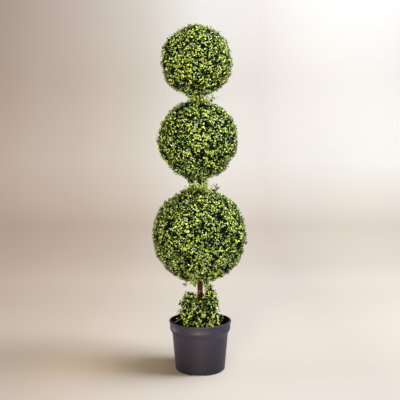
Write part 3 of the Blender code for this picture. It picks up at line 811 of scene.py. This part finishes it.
potSizes = {
    "sides": 180,
    "wall": 0.0025,
    "floor": 0.0045,
    "footRadius": 0.0885,
    "footCorner": 0.0045,
    "wallTop": (0.0992, 0.128),  # radius and height
    "collarFoot": (0.1080, 0.150),
    "collarBead": ((0.1081, 0.1501), (0.1083, 0.1506), (0.1083, 0.1511), (0.1080, 0.1518)),
    "collarTopRadius": 0.1087,
    "lipHeight": 0.0065,
    "shoulderSteps": 18,
    "roundSteps": 8,
    "smoothAngle": 30,
    "notches": 5,
    "notchFirst": -5.0,  # degrees from the front, towards +X
    "notchWidth": 30.0,
    "notchHeight": 0.0048,
    "notchDepth": 0.010,
    "notchSteps": 8,
    "insideFacing": -0.2,  # a face that looks outward less than this is on the inside
    "sameHeight": 0.0001,
}
potLipRadius, _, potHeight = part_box("pot")[1]
fillSizes = {
    "sides": 90,
    "rings": 26,
    "wallGap": 0.0006,
    "dip": 0.0018,  # of the cast face between its lumps
    "lumps": ((0.012, 1.0), (0.004, 0.6)),  # size and strength
    "lumpTop": 0.8,  # the strength that reaches the flat face
    "flatEdge": 0.001,
    "evenEdge": 0.01,  # the face levels out this near to the wall
    "smoothAngle": 60,
}


def joinRings(shape, low, high, sides):  # a ring of one corner is a pole
    for i in range(sides):
        j = (i + 1) % sides
        corners = [low[i % len(low)], low[j % len(low)], high[j % len(high)], high[i % len(high)]]
        shape.faces.new(dict.fromkeys(corners))


def turned(name, profile, sides):  # a closed skin turned round Z, its profile from pole to pole
    shape = bmesh.new()
    rings = []
    for radius, height in profile:
        turns = [math.tau * i / sides for i in range(sides if radius else 1)]
        rings.append([shape.verts.new((radius * math.cos(turn), radius * math.sin(turn), height))
                      for turn in turns])
    for low, high in zip(rings, rings[1:]):
        joinRings(shape, low, high, sides)
    return meshOf(shape, name)


def shoulder(inset):
    (lowRadius, lowHeight), (highRadius, highHeight) = potSizes["wallTop"], potSizes["collarFoot"]
    steps = potSizes["shoulderSteps"]
    points = []
    for step in range(steps + 1):
        share = step / steps
        ease = share * share * (3 - 2 * share)
        points.append((lowRadius - inset + (highRadius - lowRadius) * ease,
                       lowHeight + (highHeight - lowHeight) * share))
    return points


def potProfile():
    turns = [math.pi * i / potSizes["roundSteps"] for i in range(potSizes["roundSteps"] + 1)]
    foot, corner, wall = potSizes["footRadius"], potSizes["footCorner"], potSizes["wall"]
    collar, lip = potSizes["collarTopRadius"], potSizes["lipHeight"]
    rounding = [(foot - corner * (1 - math.sin(turn / 2)), corner * (1 - math.cos(turn / 2)))
                for turn in turns]
    bead = [(collar + (potLipRadius - collar) * math.sin(turn), potHeight - lip / 2 * (1 + math.cos(turn)))
            for turn in turns]
    inside = [(collar - wall, potHeight), *reversed(shoulder(wall)), (foot - wall, potSizes["floor"]),
              (0.0, potSizes["floor"])]
    return [(0.0, 0.0), *rounding, *shoulder(0.0), *potSizes["collarBead"], *bead, *inside]


def notchCutters():
    shape = bmesh.new()
    foot, depth, steps = potSizes["footRadius"], potSizes["notchDepth"], potSizes["notchSteps"]
    for notch in range(potSizes["notches"]):
        middle = -90 + potSizes["notchFirst"] + 360 / potSizes["notches"] * notch
        outline = [radius * aroundZ(middle + side * potSizes["notchWidth"] * (step / steps - 0.5))
                   for radius, side in ((foot - depth, 1), (foot + depth, -1))
                   for step in range(steps + 1)]
        rings = [[shape.verts.new(point + height * upwards) for point in outline]
                 for height in (-potSizes["notchHeight"], potSizes["notchHeight"])]
        for ring in rings:
            shape.faces.new(ring)
        joinRings(shape, *rings, len(outline))
    return meshOf(shape, "drain_notches")


def makePot():
    whole = addObject("pot_whole", turned("pot_whole", potProfile(), potSizes["sides"]))
    cutters = addObject("drain_notches", notchCutters())
    cut = whole.modifiers.new("drain notches", "BOOLEAN")
    cut.operation = "DIFFERENCE"
    cut.solver = "EXACT"
    cut.object = cutters
    mesh = settled(whole)
    for helper in (whole, cutters):
        bpy.data.objects.remove(helper, do_unlink=True)
    pot = addObject("nursery_pot", mesh, materials["pot"], potSizes["smoothAngle"])
    mesh.materials.append(materials["potInsidePaintedShade"])
    for face in mesh.polygons:  # the inner wall and floor take the second material, its black painted shade
        outward = face.normal.x * face.center.x + face.normal.y * face.center.y
        inward = outward < potSizes["insideFacing"] * face.center.xy.length
        face.material_index = int(inward or abs(face.center.z - potSizes["floor"]) < potSizes["sameHeight"])
    hand(pot, "pot", "pot")
    print("pot", len(mesh.polygons), "faces")


def makeFill():
    low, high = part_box("pot_fill")
    radius = high.x
    foot = potSizes["footRadius"] - potSizes["wall"] - fillSizes["wallGap"]
    rings = fillSizes["rings"]
    top = [(radius * (1 - i / rings), high.z) for i in range(rings + 1)]
    mesh = turned("fill", [(0.0, low.z), (foot, low.z), *top], fillSizes["sides"])
    for corner in mesh.vertices:
        away = math.hypot(corner.co.x, corner.co.y)
        if corner.co.z > high.z - fillSizes["flatEdge"] and away < radius - fillSizes["flatEdge"]:
            lump = sum(strength * noise.noise(corner.co / size) for size, strength in fillSizes["lumps"])
            edge = min(1.0, (radius - away) / fillSizes["evenEdge"])
            corner.co.z -= fillSizes["dip"] * (fillSizes["lumpTop"] - lump) * edge
    piece = addObject("pot_fill_cast", mesh, materials["fill"], fillSizes["smoothAngle"])
    hand(piece, "fill", "pot_fill")


# Stage, lights and camera

stage = {
    "floorFront": -3.6,
    "sweepStart": 3.0,  # where the floor starts to curve up
    "sweepRadius": 1.5,
    "sweepSteps": 24,
    "wallTop": 4.5,
    "halfWidth": 6.0,
}
paperFinish = {"roughness": 0.95, "specular": 0.2}
paperAcrossPaintedLight = {  # metres from the middle, and the colour there: painted light, lighter towards the right
    "from": -2.0, "to": 2.0,
    "stops": ((0, "#D9CBBD"), (0.2, "#CFC5BC"), (0.35, "#CFCAC1"), (0.5, "#DBDDDA"), (0.65, "#DBDAD8"),
              (0.8, "#EBECE9"), (1, "#FCFFFF"))}
paperAlongPaintedLight = {  # metres to the back, and "rise" more for each metre up, and the tint there: painted light and shade, with a darker band where the sweep turns
    "from": -1.2, "to": 7.6, "rise": 1.5,
    "stops": ((0, "#E8E3E2"), (0.136, "#DDD6CB"), (0.318, "#FFF6EA"), (0.398, "#F7EDE2"), (0.477, "#F3E9E1"),
              (0.557, "#E3DBD4"), (0.625, "#EAE6E3"), (0.727, "#F0F2F5"), (1, "#E2E5EB"))}
lights = {  # place, aim, width and height of the panel, watts, degrees that its grid lets through, colour
    "key softbox": ((1.9, -0.3, 3.9), (-0.1, 0.0, 0.0), (1.6, 3.7), 102.0, 100.0, "#F3F5FF"),
    "front panel": ((0.0, -3.4, 0.95), (0.0, 0.0, 1.0), (2.4, 0.4), 23.5, 60.0, "#FFEBD4"),
    "left front panel": ((-0.9, -3.2, 1.2), (0.0, 0.0, 1.0), (0.6, 0.6), 7.5, 60.0, "#FFD8A6"),
    "left rim panel": ((-3.2, 1.2, 0.24), (0.0, 0.0, 0.1), (0.6, 0.36), 1.1, 30.0, "#F6ECFF"),
    "floor spot": ((-0.44, 0.0, 2.6), (-0.44, 0.02, 0.0), (0.3, 0.1), 0.16, 13.0, "#FFEAD2"),
    "backdrop panel": ((0.75, 2.0, 4.4), (0.6, 4.5, 1.8), (3.6, 0.8), 82.0, 110.0, "#FFFFFF"),
}
room = {"colour": "#FFC088", "strength": 0.03}  # the little light that its walls send back
camera = {"place": (-0.0007, -2.433, 0.802), "pitchDown": 4.56, "focalPixels": 690.0, "imagePixels": 400.0,
          "sensorWidth": 36.0}


def backdropPaper():  # matt studio paper, graded from beige on the left to nearly white on the right as painted light, with a band of painted shade where the sweep turns
    material, tree, shader, place = newMaterial("backdrop paper with painted light and shade", paperFinish["specular"])
    shader["Roughness"].default_value = paperFinish["roughness"]
    across = addNode(tree, "ShaderNodeSeparateXYZ", {"Vector": place}).outputs
    higher = addNode(tree, "ShaderNodeMath", {0: across["Z"], 1: paperAlongPaintedLight["rise"]}, operation="MULTIPLY")
    along = addNode(tree, "ShaderNodeMath", {0: across["Y"], 1: higher}, operation="ADD")
    ramps = []
    for value, paper in ((across["X"], paperAcrossPaintedLight), (along, paperAlongPaintedLight)):
        share = addNode(tree, "ShaderNodeMapRange", {
            "Value": value, "From Min": paper["from"], "From Max": paper["to"]})
        ramp = addNode(tree, "ShaderNodeValToRGB", {"Fac": share})
        for index, (at, colour) in enumerate(paper["stops"]):  # a new ramp has two stops
            stop = ramp.color_ramp.elements[index] if index < 2 else ramp.color_ramp.elements.new(at)
            stop.position = at
            stop.color = toLinear(colour)
        ramps.append(ramp.outputs["Color"])
    both = addNode(tree, "ShaderNodeMix", {0: 1.0, 6: ramps[0], 7: ramps[1]}, data_type="RGBA",
                   blend_type="MULTIPLY")
    tree.links.new(both.outputs[2], shader["Base Color"])
    return material


def makeStage():
    start, radius, steps = stage["sweepStart"], stage["sweepRadius"], stage["sweepSteps"]
    turns = [math.pi / 2 * step / steps for step in range(steps + 1)]
    sweep = [(start + radius * math.sin(turn), radius * (1 - math.cos(turn))) for turn in turns]
    profile = [(stage["floorFront"], 0.0), *sweep, (sweep[-1][0], stage["wallTop"])]
    points = [(side * stage["halfWidth"], y, z) for y, z in profile for side in (-1, 1)]
    faces = [(2 * i, 2 * i + 1, 2 * i + 3, 2 * i + 2) for i in range(len(profile) - 1)]
    mesh = bpy.data.meshes.new("backdrop")
    mesh.from_pydata(points, [], faces)
    backdrop = addObject("backdrop", mesh, backdropPaper())
    mesh.shade_smooth()


def makeLights():
    for name, (place, aim, size, watts, grid, colour) in lights.items():
        data = bpy.data.lights.new(name, "AREA")
        data.shape = "RECTANGLE"
        data.size, data.size_y = size
        data.energy = watts
        data.spread = math.radians(grid)
        data.color = toLinear(colour)[:3]
        lamp = addObject(name, data)
        lamp.location = place
        lamp.rotation_euler = (Vector(aim) - Vector(place)).to_track_quat("-Z", "Y").to_euler()
    world = bpy.data.worlds.new("soft room")
    world.use_nodes = True
    background = world.node_tree.nodes["Background"].inputs
    background["Color"].default_value = toLinear(room["colour"])
    background["Strength"].default_value = room["strength"]
    bpy.context.scene.world = world


def makeCamera():
    data = bpy.data.cameras.new("camera")
    data.sensor_width = camera["sensorWidth"]
    data.lens = camera["sensorWidth"] * camera["focalPixels"] / camera["imagePixels"]
    eye = addObject("camera", data)
    eye.location = camera["place"]
    eye.rotation_euler = (math.radians(90 - camera["pitchDown"]), 0, 0)
    bpy.context.scene.camera = eye
    bpy.context.scene.view_settings.view_transform = "Standard"


makePot()
makeFill()
makeTrunk()
for ballName in balls:
    makeBall(ballName)
makeFootSprays()
makeStage()
makeLights()
makeCamera()
print("backdrop, lights and camera placed")
